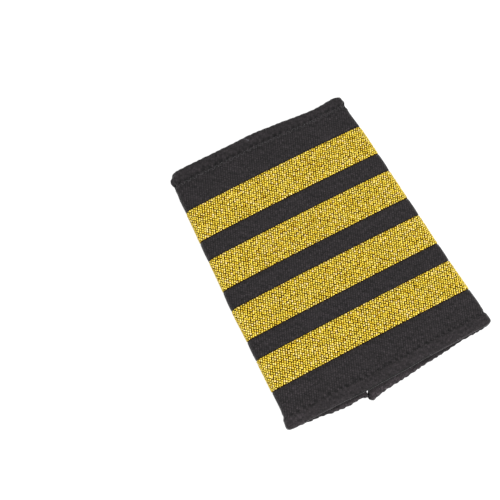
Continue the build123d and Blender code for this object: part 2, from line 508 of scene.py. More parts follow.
@dataclass(frozen=True)
class StitchRow:
    """A row of stitches round one hem: where they lie, how they dent the cloth, and how much shade is
    painted in their holes.

    The needle's holes alternate across the row by its zigzag, and a stitch joins each
    hole to the next. The cloth puckers from each outer hole towards the fold.
    """

    name: str
    end: End
    from_fold: float
    follow: float  # how much the row follows the fold's waves, from 0 to 1
    pitch: float
    zigzag: float
    groove: float  # depth under the stitches
    groove_radius: float
    hole: float  # depth at the needle's holes
    hole_radius: float
    faint_hole: float  # share of the depth at every other hole
    pucker: float  # depth of the valley that runs from a hole to the fold
    jitter: float
    thread_lift: float
    seed: int
    pucker_radius: float = 0.42
    pucker_lean: float = 0.3  # how far a pucker leans along the row for each mm outwards
    pucker_start: Span = (-0.3, 0.1)  # outwards from the hole
    pucker_fade: float = 0.75  # how much fainter it is at the fold
    fade_start: float = 0.5
    weakest_puckered: float = 0.5  # share of the depth from which a hole puckers the cloth
    hole_lean: float = 0.35
    pit_shade_gain: float = 1.25  # from a hole's depth to how dark its painted shade is
    pit_shade_start: float = 0.08
    stray_along: float = 0.16  # of the pitch that a hole may lie off its place
    stray_across: float = 0.1  # mm, the same across the row
    weaker: float = 0.35  # share of its depth that a hole may lack
    followed: Span = (-0.6, 1.2)  # the fold's waves that the row can follow

    def holes(self, loop: ClothLoop) -> Array:
        """Work out where the needle went through.

        Args:
            loop: The cloth.

        Returns:
            One row for each hole: u, y and share of the full depth.
        """
        rng = np.random.default_rng(self.seed)
        hem_y = loop.collar_end - self.from_fold
        if self.end is End.SHOULDER:
            hem_y = loop.shoulder_end + self.from_fold
        left = -loop.reach(Side.LEFT, np.array([hem_y]))[0]
        right = loop.reach(Side.RIGHT, np.array([hem_y]))[0]
        count = int((right - left) / self.pitch)
        number = np.arange(count)
        u = left + (right - left) * (number + 0.5) / count
        along = rng.uniform(-self.stray_along, self.stray_along, count)
        u = u + along * self.jitter * self.pitch
        turn = np.where(number % 2 == 0, 1, -1)
        stray = rng.normal(0, self.stray_across, count) * self.jitter
        wave = np.clip(loop.edge_shift(self.end, u, np.full(count, hem_y)), *self.followed)
        y = hem_y + self.end.value * (wave * self.follow + turn * self.zigzag / 2) + stray
        strength = rng.uniform(1 - self.weaker * self.jitter, 1, count)
        strength = strength * np.where(turn > 0, 1.0, self.faint_hole)
        return np.stack([u, y, strength], axis=1)

    def stitches(self, loop: ClothLoop) -> Array:
        """Work out where each stitch lies.

        Args:
            loop: The cloth.

        Returns:
            One row for each: u, y, turn in radians and length.
        """
        holes = self.holes(loop)[:, :2]
        run = np.diff(holes, axis=0)
        middle = (holes[1:] + holes[:-1]) / 2
        turn = np.arctan2(run[:, 1], run[:, 0])
        return np.column_stack([middle, turn, np.hypot(run[:, 0], run[:, 1])])

    def dents(self, loop: ClothLoop, u: Array, y: Array) -> tuple[Array, Array]:
        """Work out how deep the stitches pull the cloth in.

        Args:
            loop: The cloth.
            u: The way round, for each point of the cloth.
            y: The way along.

        Returns:
            The depth in mm, and how much shade is painted at each point for lying in a needle's hole, from 0
            to 1.
        """
        stitches = self.stitches(loop)
        holes = self.holes(loop)
        groove = np.zeros_like(u)
        valley = np.zeros_like(u)
        hole = np.zeros_like(u)
        near_stitch = np.searchsorted(stitches[:, 0], u)
        near_hole = np.searchsorted(holes[:, 0], u)
        for offset in (-2, -1, 0, 1):
            row = stitches[np.clip(near_stitch + offset, 0, len(stitches) - 1)]
            dx, dy = u - row[..., 0], y - row[..., 1]
            along = dx * np.cos(row[..., 2]) + dy * np.sin(row[..., 2])
            across = -dx * np.sin(row[..., 2]) + dy * np.cos(row[..., 2])
            past = np.maximum(np.abs(along) - row[..., 3] / 2, 0)
            gap = np.hypot(past, across) / self.groove_radius
            groove = np.maximum(groove, np.exp(-(gap**2)))
            row = holes[np.clip(near_hole + offset, 0, len(holes) - 1)]
            outwards = self.end.value * (y - row[..., 1])
            dx = u - row[..., 0]
            gap = np.hypot(dx - self.hole_lean * outwards, outwards) / self.hole_radius
            hole = np.maximum(hole, row[..., 2] * np.exp(-(gap**2)))
            to_fold = smoothstep(self.fade_start, self.from_fold, outwards)
            fade = smoothstep(*self.pucker_start, outwards) * (1 - self.pucker_fade * to_fold)
            pull = smoothstep(self.weakest_puckered, 1, row[..., 2]) * fade
            gap = (dx - self.pucker_lean * outwards) / self.pucker_radius
            valley = np.maximum(valley, pull * np.exp(-(gap**2)))
        depth = np.maximum(self.groove * groove + self.pucker * valley, self.hole * hole)
        # The second value is the shade painted in the needle's holes
        return depth, np.clip(hole * self.pit_shade_gain - self.pit_shade_start, 0, 1)


@dataclass(frozen=True)
class GoldLayout:
    """Where the bars lie, in mm from the collar end's fold, and how deep in the cloth."""

    count: int = 4
    width: float = 11.0
    gap: float = 6.3
    collar_margin: float = 12.2
    bed_inset: float = 0.66  # of the recess in the cloth, as the two below from the hems' faces
    ground_top: float = 0.44
    ground_bottom: float = 0.62
    edge_room: float = 0.1  # between a bar's edge and its recess

    def edges(self, loop: ClothLoop, index: int) -> Span:
        """The y of one bar's two edges, from the collar end."""
        first = loop.collar_end - self.collar_margin - index * (self.width + self.gap)
        return first, first - self.width


def plug(tree: Tree, node: Node, links: dict | tuple) -> None:
    """Fill a node's inputs with plain values, sockets or other nodes' first outputs.

    Args:
        tree: The node's tree.
        node: The node.
        links: What goes in, by the input's name or number, or in the inputs' order.
    """
    for key, value in links.items() if isinstance(links, dict) else enumerate(links):
        value = value.outputs[0] if isinstance(value, Node) else value
        if isinstance(value, Socket):
            tree.links.new(value, node.inputs[key])
        else:
            node.inputs[key].default_value = value


def add_node(tree: Tree, kind: str, links: dict | tuple = (), **settings: object) -> Node:
    """Add a node with its settings and links.

    Args:
        tree: The tree that gets the node.
        kind: Its type.
        links: What goes into its inputs, as for plug.
        settings: Properties of the node by name.

    Returns:
        The node.
    """
    node = tree.nodes.new(kind)
    for name, value in settings.items():
        setattr(node, name, value)
    plug(tree, node, links)
    return node


@dataclass(frozen=True)
class WeaveMaths:
    """The woven pattern that all cloth shares, as nodes that read the cloth's map."""

    wale_spacing: float = 0.7205  # mm between the slanting ribs
    float_pitch: float = 0.755  # mm from float to float along a rib
    lean: float = math.radians(23.0)  # of the ribs, clockwise from the loop's length
    stagger: float = 0.311  # of a float, from rib to rib square to them
    level_stagger: float = 0.284  # the same, from rib to rib along the cloth's width
    run_floats: float = 1.6  # floats along a rib that look alike
    rib_power: float = 0.9  # below 1 the ribs are full and the gaps between them narrow
    float_power: float = 0.35

    @classmethod
    def height(cls, tree: Tree) -> tuple[Node, Node]:
        """Add nodes for the height of the weave and for the unevenness of its yarns.

        Args:
            tree: The material's tree.

        Returns:
            The nodes of the height, from 0 in a pit to 1 on a float, and of a noise
            about 0.5 that stays alike for a few floats along a rib.
        """
        add = partial(add_node, tree)
        uv = add("ShaderNodeUVMap", uv_map=CLOTH_MAP)
        turned = add("ShaderNodeVectorRotate", {"Vector": uv, "Angle": cls.lean}, rotation_type="Z_AXIS")
        parts = add(SEPARATE, (turned,))
        rib = add(MATHS, (parts, MAP_SPAN / cls.wale_spacing), operation="MULTIPLY")
        rib_number = add(MATHS, (rib,), operation="FLOOR")
        along = add(MATHS, (parts.outputs[1], MAP_SPAN / cls.float_pitch), operation="MULTIPLY")
        shifted = add(MATHS, (rib_number, cls.stagger, along), operation="MULTIPLY_ADD")
        waves = []
        for phase, power in ((rib, cls.rib_power), (shifted, cls.float_power)):
            turn = add(MATHS, (phase, math.pi), operation="MULTIPLY")
            sine = add(MATHS, (turn,), operation="SINE")
            size = add(MATHS, (sine,), operation="ABSOLUTE")
            waves.append(add(MATHS, (size, power), operation="POWER"))
        both = add(MATHS, tuple(waves), operation="MULTIPLY")
        runs = add(MATHS, (shifted, 1 / cls.run_floats), operation="MULTIPLY")
        spot = add(COMBINE, (rib_number, runs))
        return both, add(NOISE, {"Vector": spot, "Scale": 1.0, "Detail": 2.0})


def new_material(name: str) -> tuple[Material, Tree, Node]:
    """Start a material with one main shader.

    Args:
        name: The material's name.

    Returns:
        The material, its tree and its shader.
    """
    material = bpy.data.materials.new(name)
    material.use_nodes = True
    tree = material.node_tree
    tree.nodes.clear()
    shader = add_node(tree, "ShaderNodeBsdfPrincipled")
    add_node(tree, "ShaderNodeOutputMaterial", {"Surface": shader})
    return material, tree, shader


@dataclass(frozen=True)
class BlackTwill:
    """Black polyester twill, piece-dyed and matt: fine slanting ribs that catch a little
    light, with painted shade in the valleys between them, a soft bloom of loose fibre,
    needle pits painted dark as shade, painted light on the back hem's lips and at the
    sides of the shoulder's fold, painted shade in that fold's middle, and a shoulder hem
    drawn a little lighter."""

    rib_colour: str = "#252123"
    # Painted shade in the valleys between the ribs
    valley_shade_colour: str = "#060506"
    # Painted shade in the needle pits
    pit_shade_colour: str = "#080708"
    roughness: float = 0.85
    specular: float = 0.25
    sheen: float = 0.16
    sheen_roughness: float = 0.4
    rib_depth: float = 0.09  # mm
    patch_size: float = 7.0  # mm, of slightly paler and darker patches
    patches: tuple[float, ...] = (0.3, 0.7, 0.88, 1.12)  # two values of their noise, and their shades
    blur_size: float = 2.6  # mm, of the places where the ribs show less
    blurs: tuple[float, ...] = (0.35, 0.6, 0.6, 1.0)  # two values of their noise, and how much ribs show
    flat_height: float = 0.62  # of the weave where no ribs show
    streak: float = 0.9  # how much lighter and darker the yarns run
    streak_noise: Span = (0.25, 0.75)  # the values of the yarns' noise for both
    fibre_size: float = 0.42  # mm, drawn coarser than real fibres, so that they show
    speck: float = 2.0  # how strongly single fibres show lighter and darker
    darkest_speck: float = 0.2
    hem_calm: float = 0.75  # how much fainter the ribs are where a hem is rolled
    light_paint_gain: float = 1.8  # how much lighter the cloth is drawn where light is painted on it, and darker where shade is

    def make(self, name: str) -> Material:
        """Make the material.

        Args:
            name: Its name, which says what it is.

        Returns:
            The material.
        """
        material, tree, shader = new_material(name)
        add = partial(add_node, tree)
        weave, yarn = WeaveMaths.height(tree)
        place = add("ShaderNodeTexCoord").outputs["Object"]
        patches = add(NOISE, {"Vector": place, "Scale": 1 / (self.patch_size * MM), "Detail": 3.0})
        blur = add(NOISE, {"Vector": place, "Scale": 1 / (self.blur_size * MM), "Detail": 1.0})
        fuzz = add(NOISE, {"Vector": place, "Scale": 1 / (self.fibre_size * MM), "Detail": 1.0})
        calm, painted_light_and_tone, pit_shade = (
            add(ATTRIBUTE, attribute_name=item).outputs["Fac"] for item in ("calm", "painted_light_and_tone", "pit_shade")
        )
        clear = add(MAP_RANGE, (blur, *self.blurs))
        showing = add(MATHS, (calm, -self.hem_calm, 1.0), operation="MULTIPLY_ADD")
        strength = add(MATHS, (clear, showing), operation="MULTIPLY")
        ribs = add(MIX, {"Factor": strength, 2: self.flat_height, 3: weave}, data_type="FLOAT")
        # The ribs' colour, with painted shade in the valleys between them
        colours = {6: linear(self.valley_shade_colour), 7: linear(self.rib_colour)}
        cloth = add(MIX, {"Factor": ribs, **colours}, data_type="RGBA")
        uneven = add(MAP_RANGE, (patches, *self.patches))
        streaks = add(MAP_RANGE, (yarn, *self.streak_noise, 1 - self.streak, 1 + self.streak))
        both = add(MATHS, (uneven, streaks), operation="MULTIPLY")
        specks = add(MATHS, (fuzz, self.speck, 1 - 0.5 * self.speck), operation="MULTIPLY_ADD")
        kept = add(MATHS, (specks, self.darkest_speck), operation="MAXIMUM")
        # Painted light and shade: lighter or darker colour where it is painted on the cloth
        lifted = add(MATHS, (painted_light_and_tone, self.light_paint_gain, 1.0), operation="MULTIPLY_ADD")
        faces = add(MATHS, (lifted, kept), operation="MULTIPLY")
        scale = add(MATHS, (both, faces), operation="MULTIPLY")
        shaded = add(VECTOR_MATHS, {0: cloth.outputs[2], "Scale": scale}, operation="SCALE")
        # Painted shade in the needle pits
        with_pit_shade = add(MIX, {"Factor": pit_shade, 6: shaded, 7: linear(self.pit_shade_colour)}, data_type="RGBA")
        bump = add(BUMP, {"Height": ribs, "Distance": self.rib_depth * MM})
        looks = {"Base Color": with_pit_shade.outputs[2], "Normal": bump, "Roughness": self.roughness}
        sheen = {"Sheen Weight": self.sheen, "Sheen Roughness": self.sheen_roughness}
        plug(tree, shader, {**looks, **sheen, "Specular IOR Level": self.specular})
        return material


@dataclass(frozen=True)
class GroundWeave:
    """Dark brown polyester ground of the bars, woven: it shows in the pits between the
    gold floats, and in a bare rim along each edge. Its dark colours also stand in for the
    shade in those pits, with painted shade in the gaps between its yarns."""

    yarn_colour: str = "#341C00"
    # Painted shade in the gaps between the yarns
    gap_shade_colour: str = "#120800"
    roughness: float = 0.7
    specular: float = 0.05
    yarn_depth: float = 0.05  # mm

    def make(self, name: str) -> Material:
        """Make the material.

        Args:
            name: Its name, which says what it is.

        Returns:
            The material.
        """
        material, tree, shader = new_material(name)
        weave, _ = WeaveMaths.height(tree)
        colours = {6: linear(self.gap_shade_colour), 7: linear(self.yarn_colour)}
        colour = add_node(tree, MIX, {"Factor": weave, **colours}, data_type="RGBA")
        bump = add_node(tree, BUMP, {"Height": weave, "Distance": self.yarn_depth * MM})
        looks = {"Base Color": colour.outputs[2], "Normal": bump, "Roughness": self.roughness}
        plug(tree, shader, {**looks, "Specular IOR Level": self.specular})
        return material


@dataclass(frozen=True)
class GoldLurex:
    """Gold lurex: metallised polyester film slit into flat yarn. Each float mirrors the
    light its own way, so that some flash nearly white and others stay olive or brown.
    Its crest is painted paler, as a painted highlight, and its sunken rim deeper gold,
    as painted shade."""

    deep_gold: str = "#905A00"
    main_gold: str = "#D8BA1A"
    light_gold: str = "#DECA42"
    pale_gold: str = "#F0D698"
    edge_tint: str = "#E8C838"
    main_at: float = 0.35  # the paleness at which a float is main or light gold
    light_at: float = 0.65
    roughness: float = 0.62
    wear: float = 0.1  # how much rougher or smoother the film is in places
    wear_size: float = 0.5  # mm
    metal: float = 0.6  # the rest is the yellow lacquer over it
    coat: float = 0.8
    coat_roughness: float = 0.35
    crest_highlight: float = 0.45  # how much paler a float's crest is painted than its sunken rim: painted highlight and shade

    def make(self, name: str) -> Material:
        """Make the material.

        Args:
            name: Its name, which says what it is.

        Returns:
            The material.
        """
        material, tree, shader = new_material(name)
        add = partial(add_node, tree)
        tint, crest = (add(ATTRIBUTE, attribute_name=item).outputs["Fac"] for item in ("tint", "crest"))
        # Painted highlight on each float's crest, and painted shade at its sunken rim
        paleness = add(MATHS, (crest, self.crest_highlight, tint), operation="MULTIPLY_ADD")
        ramp = add("ShaderNodeValToRGB", (paleness,))
        ramp.color_ramp.elements[0].color = linear(self.deep_gold)
        ramp.color_ramp.elements[1].color = linear(self.pale_gold)
        for position, colour in ((self.main_at, self.main_gold), (self.light_at, self.light_gold)):
            ramp.color_ramp.elements.new(position).color = linear(colour)
        place = add("ShaderNodeTexCoord").outputs["Object"]
        wear = add(NOISE, {"Vector": place, "Scale": 1 / (self.wear_size * MM), "Detail": 2.0})
        rough = add(MAP_RANGE, {0: wear, 3: self.roughness - self.wear, 4: self.roughness + self.wear})
        film = {"Base Color": ramp, "Roughness": rough, "Metallic": self.metal}
        lacquer = {"Coat Weight": self.coat, "Coat Roughness": self.coat_roughness}
        plug(tree, shader, {**film, **lacquer, "Specular Tint": linear(self.edge_tint)})
        return material


@dataclass(frozen=True)
class SewingThread:
    """Spun polyester sewing thread, two plies twisted: a shade glossier than the cloth."""

    colour: str
    shade: str
    roughness: float = 0.7
    specular: float = 0.35
    sheen: float = 0.12
    fibre_size: float = 0.25  # mm, drawn coarser than real fibres, so that they show
    fibre_depth: float = 0.04  # mm

    def make(self, name: str) -> Material:
        """Make the material.

        Args:
            name: Its name, which says what it is.

        Returns:
            The material.
        """
        material, tree, shader = new_material(name)
        add = partial(add_node, tree)
        place = add("ShaderNodeTexCoord").outputs["Object"]
        fibre = add(NOISE, {"Vector": place, "Scale": 1 / (self.fibre_size * MM), "Detail": 3.0})
        colours = {6: linear(self.shade), 7: linear(self.colour)}
        colour = add(MIX, {"Factor": fibre, **colours}, data_type="RGBA")
        bump = add(BUMP, {"Height": fibre, "Distance": self.fibre_depth * MM})
        looks = {"Base Color": colour.outputs[2], "Normal": bump, "Roughness": self.roughness}
        plug(tree, shader, {**looks, "Specular IOR Level": self.specular, "Sheen Weight": self.sheen})
        return material


@dataclass(frozen=True)
class WhiteAcrylic:
    """Opal white acrylic light table, lit from below: plain white with hardly a shadow."""

    colour: str = "#6A6A6A"
    shade: str = "#626262"
    glow_colour: str = "#FFFFFF"
    glow: float = 0.93
    roughness: float = 0.9
    specular: float = 0.2
    mottle_size: float = 40.0  # mm

    def make(self, name: str) -> Material:
        """Make the material.

        Args:
            name: Its name, which says what it is.

        Returns:
            The material.
        """
        material, tree, shader = new_material(name)
        add = partial(add_node, tree)
        place = add("ShaderNodeTexCoord").outputs["Object"]
        mottle = add(NOISE, {"Vector": place, "Scale": 1 / (self.mottle_size * MM)})
        colours = {6: linear(self.shade), 7: linear(self.colour)}
        colour = add(MIX, {"Factor": mottle, **colours}, data_type="RGBA")
        looks = {"Base Color": colour.outputs[2], "Roughness": self.roughness}
        glow = {"Emission Color": linear(self.glow_colour), "Emission Strength": self.glow}
        plug(tree, shader, {**looks, **glow, "Specular IOR Level": self.specular})
        return material


def find_on_cloth(tree: Tree, place: Node, carrier: Socket, value: Node) -> Node:
    """Add nodes that read a value of the cloth at a flat place.

    Args:
        tree: The Geometry Nodes tree.
        place: The flat place, whose x and y count.
        carrier: The cloth's geometry, with its map.
        value: What is read.

    Returns:
        The node that has read it and says whether the place is on the cloth.
    """
    add = partial(add_node, tree)
    to_map = (1 / (MAP_SPAN * MM),) * 3
    flat = add(VECTOR_MATHS, (place, to_map, (0.5, 0.5, 0.0)), operation="MULTIPLY_ADD")
    cloth_map = add(NAMED, {"Name": CLOTH_MAP}, data_type="FLOAT_VECTOR")
    links = {"Mesh": carrier, "Value": value, "UV Map": cloth_map, "Sample UV": flat}
    return add("GeometryNodeSampleUVSurface", links, data_type="FLOAT_VECTOR")


def on_cloth(tree: Tree, geometry: Node, carrier: Socket) -> Node:
    """Add nodes that lay flat geometry on the cloth: x and y are its place, z its lift.

    Points that lie past the cloth's edge are left out.

    Args:
        tree: The Geometry Nodes tree.
        geometry: What is laid on the cloth.
        carrier: The cloth's geometry, with its map and its facing attribute.

    Returns:
        The node that has set the positions.
    """
    add = partial(add_node, tree)
    position = add("GeometryNodeInputPosition")
    facing = add(NAMED, {"Name": "facing"}, data_type="FLOAT_VECTOR")
    surface = find_on_cloth(tree, position, carrier, add("GeometryNodeInputPosition"))
    outwards = find_on_cloth(tree, position, carrier, facing)
    off_cloth = add(LOGIC, (surface.outputs["Is Valid"],), operation="NOT")
    kept = add(DELETE, {"Geometry": geometry, "Selection": off_cloth}, domain="POINT")
    height = add(SEPARATE, (position,)).outputs[2]
    lifted = add(VECTOR_MATHS, {0: outwards, "Scale": height}, operation="SCALE")
    placed = add(VECTOR_MATHS, (surface, lifted), operation="ADD")
    return add("GeometryNodeSetPosition", {"Geometry": kept, "Position": placed})


class NodeTool:
    """A Geometry Nodes tree with named inputs, run on an object and baked into its mesh."""

    def __init__(self, name: str, inputs: dict[str, Piece | int | float]) -> None:
        """Start the tree with its inputs and outputs.

        Args:
            name: The tree's name.
            inputs: What its modifier is given, by the name of the input.
        """
        self.inputs = inputs
        self.tree = bpy.data.node_groups.new(name, "GeometryNodeTree")
        interface = self.tree.interface
        interface.new_socket("Geometry", in_out="INPUT", socket_type="NodeSocketGeometry")
        for key, value in inputs.items():
            interface.new_socket(key, in_out="INPUT", socket_type=SOCKETS[type(value)])
        interface.new_socket("Geometry", in_out="OUTPUT", socket_type="NodeSocketGeometry")
        self.given = self.tree.nodes.new("NodeGroupInput").outputs
        self.result = self.tree.nodes.new("NodeGroupOutput").inputs[0]

    def bake(self, target: Piece) -> None:
        """Run the tree on an object and keep the result as its plain mesh.

        Args:
            target: The object, whose mesh is replaced.
        """
        modifier = target.modifiers.new(self.tree.name, "NODES")
        modifier.node_group = self.tree
        keys = {s.name: s.identifier for s in self.tree.interface.items_tree if s.in_out == "INPUT"}
        for key, value in self.inputs.items():
            modifier[keys[key]] = value
        graph = bpy.context.evaluated_depsgraph_get()
        baked = bpy.data.meshes.new_from_object(
            target.evaluated_get(graph), preserve_all_data_layers=True, depsgraph=graph
        )
        target.modifiers.remove(modifier)
        target.data = baked


@dataclass(frozen=True)
class ClothSheet:
    """Grids of points on the loop, from which the cloth and the bars' ground are made."""

    loop: ClothLoop
    columns: Columns

    def sway(self, u: Array, y: Array) -> Array:
        """How far the cloth sways inwards where nothing holds it flat, in mm.

        Args:
            u: The way round.
            y: The way along.

        Returns:
            Lengths inwards.
        """
        loop = self.loop
        start, start_along = loop.slow_starts
        slow = np.sin(u / loop.slow_round + loop.slow_slant * y + start)
        slow = slow * np.sin(y / loop.slow_along + start_along)
        quick = np.sin(u / loop.quick_round - y / loop.quick_along) * loop.quick_share
        face = 1 - smoothstep(*loop.sway_end, np.abs(u))
        return loop.sway_depth * (slow + quick) * face

    def grid(self, rows: Array, insets: Array) -> tuple[Array, Array]:
        """Place a plain grid on the loop that ends on both sides of the seam.

        Args:
            rows: The y of each row.
            insets: The inset of each row.

        Returns:
            Points and their u, by row and column.
        """
        side, part, share = self.columns.around()
        y, _ = np.broadcast_arrays(rows[:, None], side[None, :])
        inset, _ = np.broadcast_arrays(insets[:, None], y)
        _, u = self.loop.place(side, part, share, y, inset)
        points, u = self.loop.place(side, part, share, y, inset + self.sway(u, y))
        keep = self.loop.from_seam(u, points[..., 1]).min(axis=0) >= self.loop.seam_split / 2
        return points[:, keep], u[:, keep]

    @staticmethod
    def add_map(piece: Piece, u: Array, y: Array) -> None:
        """Give a mesh the map of its place on the flat cloth.

        Args:
            piece: The object.
            u: The way round, for each corner of its faces.
            y: The way along.
        """
        flat = np.stack([u.ravel(), y.ravel()], axis=1) / MAP_SPAN + 0.5
        piece.data.uv_layers.new(name=CLOTH_MAP).data.foreach_set("uv", flat.ravel())

    @staticmethod
    def add_facing(piece: Piece) -> None:
        """Keep the mesh's smooth normals as an attribute that node trees can sample.

        Args:
            piece: The object.
        """
        normals = np.empty(len(piece.data.vertices) * 3, np.float32)
        piece.data.vertices.foreach_get("normal", normals)
        piece.data.attributes.new("facing", "FLOAT_VECTOR", "POINT").data.foreach_set("vector", normals)


@dataclass(frozen=True)
class Sleeve(ClothSheet):
    """The black loop itself: both faces of the cloth, its two folded hems, the recesses
    that the bars lie in, and the seam's groove behind."""

    stitch_rows: list[StitchRow]
    gold: GoldLayout
    hem_zone: float = 7.0  # mm at each end with closely spaced rows
    hem_step: float = 0.35
    stitch_zone: Span = (2.8, 5.4)
    stitch_step: float = 0.18
    body_step: float = 1.4
    inner_step: float = 2.2
    fold_steps: int = 9
    seam_groove: float = 0.75
    seam_half_width: float = 0.5
    bed_margin: float = 0.05  # by which a bar's bed passes its room
    bed_wall: float = 0.1  # over which the cloth drops into the bed
    inner_hem: Span = (4.6, 5.2)  # depths at which the turned-in cloth ends
    lit_lip_turn: Span = (1.5, 2.4)  # radians round a lip's fold, past which its inner face gets painted light
    lit_lip_reach: Span = (-0.2, 0.9)  # past the front's fold, where that painted light starts
    # Where the shoulder's fold gets its painted highlight and shade
    fold_light_starts: Span = (0.7, 1.2)  # radians round the front's fold
    fold_light_ends: Span = (2.5, 2.9)
    fold_light_depth: float = 3.0  # in from the front's fold
    face_reach: float = 36.0  # u at the side folds
    plain_from: Span = (30.0, 36.0)  # u over which the hems turn plain towards the back
    calm_run: float = 1.0  # mm before the stitches, over which the weave calms down
    dented_turn: float = 1.2  # radians round a fold that the stitches still dent
    hem_waves: float = 0.2  # how much less a hem swells in places
    hem_wave_length: float = 6.6
    wave_sway: float = 1.3  # radians by which these waves are uneven
    wave_sway_rate: float = 0.31  # radians for each mm round
    # How far each hem swells, as shares of its rise, by depth
    collar_swell: Knots = (
        (0, 1.0), (1.6, 1.7), (2.6, 1.45), (3.6, 0.2), (4.4, -0.1), (5.4, 0.15), (6.6, 0.0)
    )
    shoulder_swell: Knots = ((0, 1.0), (2.5, 1.15), (3.3, 0.95), (4.1, 0.15), (4.9, 0.4), (6.2, 0.0))

    def hem_inset(self, end: End, depth: Array, u: Array) -> Array:
        """The inset of the outer face near an end, before the stitches dent it.

        Args:
            end: The collar or the shoulder end.
            depth: How far in from the fold.
            u: The way round.

        Returns:
            Insets in mm.
        """
        swell = self.collar_swell if end is End.COLLAR else self.shoulder_swell
        sway = self.wave_sway * np.sin(u * self.wave_sway_rate)
        wave = np.sin(2 * math.pi * u / self.hem_wave_length + sway)
        uneven = 1 - self.hem_waves + self.hem_waves * wave
        flat_below = smoothstep(*self.plain_from, np.abs(u))
        height = curve_through(depth, swell) * (uneven * (1 - flat_below) + flat_below)
        capped = np.where(flat_below > 0, np.minimum(height, 1 + (1 - flat_below)), height)
        return self.loop.hem_rise * (1 - capped)

    def profile(self) -> tuple[Array, Array]:
        """List the rows of points: over the face from fold to fold, then back inside.

        Returns:
            For each row its y on a straight loop, and its turn round a fold in radians,
            0 on the outer face and pi on the inner one.
        """
        loop = self.loop
        radius = loop.hem_wall / 2
        close = np.concatenate(
            [
                np.arange(radius, self.stitch_zone[0], self.hem_step),
                np.arange(*self.stitch_zone, self.stitch_step),
                np.arange(self.stitch_zone[1], self.hem_zone, self.hem_step),
            ]
        )
        top = loop.collar_end - self.hem_zone
        bottom = loop.shoulder_end + self.hem_zone
        body = list(np.linspace(top, bottom, int((top - bottom) / self.body_step)))
        for index in range(self.gold.count):
            first, second = self.gold.edges(loop, index)
            room, wall = self.gold.edge_room, self.bed_wall
            body += [first + room + wall, first + room, second - room, second - room - wall]
        body = np.array(sorted(set(body), reverse=True))
        arc = math.pi * np.arange(1, self.fold_steps) / self.fold_steps
        inner = np.linspace(
            loop.shoulder_end + radius, loop.collar_end - radius, int(loop.loop_length / self.inner_step)
        )
        y = np.concatenate(
            [
                loop.collar_end - close,
                body,
                loop.shoulder_end + close[::-1],
                loop.shoulder_end + radius * (1 - np.sin(arc)),
                inner,
                loop.collar_end - radius * (1 - np.sin(arc)),
            ]
        )
        outside = len(close) * 2 + len(body)
        turn = np.concatenate([np.zeros(outside), arc, np.full(len(inner), math.pi), arc[::-1]])
        return y, turn

    def make(self) -> Piece:
        """Make the cloth's mesh, closed all round.

        Returns:
            The object, with its map, the shade painted in its needle pits, how calm each point is, and how
            much light or shade is painted on it.
        """
        loop = self.loop
        side, part, share = self.columns.around()
        row_y, turn = self.profile()
        y, _ = np.broadcast_arrays(row_y[:, None], side[None, :])
        turn = np.broadcast_to(turn[:, None], y.shape)
        on_face = turn == 0
        _, u = loop.place(side, part, share, y, np.zeros_like(y))
        place_y = y.copy()
        outer = np.full_like(y, loop.hem_rise)
        for end in End:
            depth = loop.depth(end, y)
            fade = 1 - smoothstep(loop.hem_run, loop.hem_fade, depth)
            place_y = place_y + end.value * loop.edge_shift(end, u, y) * fade
            outer = np.where(depth < self.hem_zone, self.hem_inset(end, depth, u), outer)
        pit_shade = np.zeros_like(y)
        calm = np.zeros_like(y)
        for row in self.stitch_rows:
            dent, hole = row.dents(loop, u, place_y)
            near = loop.depth(row.end, y) < self.hem_zone
            outer = outer + np.where(near & (turn < self.dented_turn), dent * np.cos(turn), 0)
            # Painted shade in the needle's holes, on the outer face
            pit_shade = np.maximum(pit_shade, np.where(near & on_face, hole, 0))
            past = smoothstep(row.from_fold - self.calm_run, row.from_fold, loop.depth(row.end, y))
            calm = np.maximum(calm, 1 - past)
        for index in range(self.gold.count):
            first, second = self.gold.edges(loop, index)
            room = self.gold.edge_room + self.bed_margin
            inside = (y < first + room) & (y > second - room)
            outer = np.where(inside & on_face, self.gold.bed_inset, outer)
        from_seam = loop.from_seam(u, y)
        outer = outer + self.seam_groove * np.exp(-((from_seam / self.seam_half_width) ** 2))
        outer = outer + self.sway(u, y)
        outer = np.where(part == UNDERSIDE, np.maximum(outer, 0.0), outer)
        lining = np.full_like(y, loop.lining_inset)
        for end in End:
            thick = 1 - smoothstep(*self.inner_hem, loop.depth(end, y))
            lining = lining + (loop.hem_wall - loop.lining_inset) * thick
        middle = (outer + lining) / 2
        inset = middle - (lining - outer) / 2 * np.cos(turn)
        points, u = loop.place(side, part, share, place_y, inset)
        reach = loop.shoulder_end - place_y
        near_notch = smoothstep(*loop.flare_start, from_seam)
        near_notch = near_notch * (1 - smoothstep(*loop.flare_run, from_seam))
        spread = np.where(side > 0, curve_through(reach, loop.corner_flare) * near_notch, 0)
        points[..., 0] -= spread
        points[..., 2] += loop.flare_lift * spread
        ring = points[:, :-1]
        rows, columns = ring.shape[:2]
        faces = grid_faces(rows, columns, closed_rows=True, closed_columns=True)
        piece = make_object("sleeve_cloth", ring.reshape(-1, 3), faces)
        wide_faces = grid_faces(rows, columns + 1, closed_rows=True, closed_columns=False)
        inside = (turn[wide_faces // (columns + 1), 0] > math.pi / 2).all(axis=1)
        map_y = place_y.ravel()[wide_faces] + inside[:, None] * LINING_SHIFT * MAP_SPAN
        self.add_map(piece, u.ravel()[wide_faces], map_y)
        # Painted highlight at the sides of the shoulder's fold, and painted shade in its middle
        on_fold = smoothstep(*self.fold_light_starts, turn) * (1 - smoothstep(*self.fold_light_ends, turn))
        on_fold = on_fold * (reach > -self.fold_light_depth) * (np.abs(u) < self.face_reach)
        # Painted light on the lips' inner faces, which lifts them out of the shade under the front's hem
        painted_light_and_tone = smoothstep(*self.lit_lip_turn, turn) * smoothstep(*self.lit_lip_reach, reach)
        painted_light_and_tone = painted_light_and_tone + on_fold * curve_through(u, loop.fold_painted_light)
